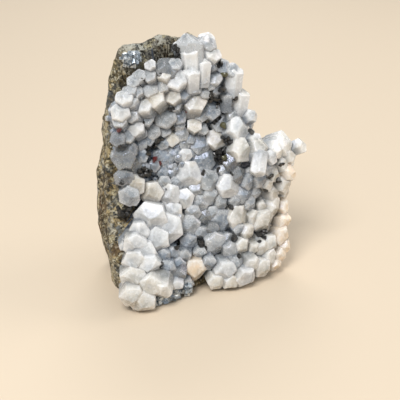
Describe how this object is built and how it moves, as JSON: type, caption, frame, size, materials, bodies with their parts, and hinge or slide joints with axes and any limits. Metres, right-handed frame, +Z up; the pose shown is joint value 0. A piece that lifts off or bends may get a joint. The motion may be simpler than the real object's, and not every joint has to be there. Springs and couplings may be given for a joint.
{
  "type": "aura quartz mineral specimen",
  "caption": "Palm-sized plate of milky and blue-grey quartz crystals with dark sphalerite and galena, on a broken piece of ore rock.",
  "frame": {"origin": "on the ground under the middle of the specimen's box", "axes": "+Z up as it stands on its small flat spot, -Y out of the crystal face, +X to the right seen from the crystal face"},
  "size_m": [0.0852, 0.0492, 0.093],
  "materials": {
    "ore_rock": "matte",
    "milky_quartz": "satin",
    "sphalerite": "gloss",
    "galena": "gloss"
  },
  "bodies": {
    "root": {"galena_front_edge": "galena", "galena_front_left": "galena", "galena_top_corner": "galena", "matrix_rock": "ore_rock", "quartz_crust": "milky_quartz", "sphalerite_centre_crevice": "sphalerite", "sphalerite_crown_left": "sphalerite", "sphalerite_crown_right": "sphalerite", "sphalerite_hollow": "sphalerite", "sphalerite_hollow_foot": "sphalerite", "sphalerite_left_foot": "sphalerite", "sphalerite_lower_middle": "sphalerite", "sphalerite_lower_right": "sphalerite", "sphalerite_under_blue_crystal": "sphalerite", "sphalerite_upper_right": "sphalerite"}
  },
  "joints": []
}
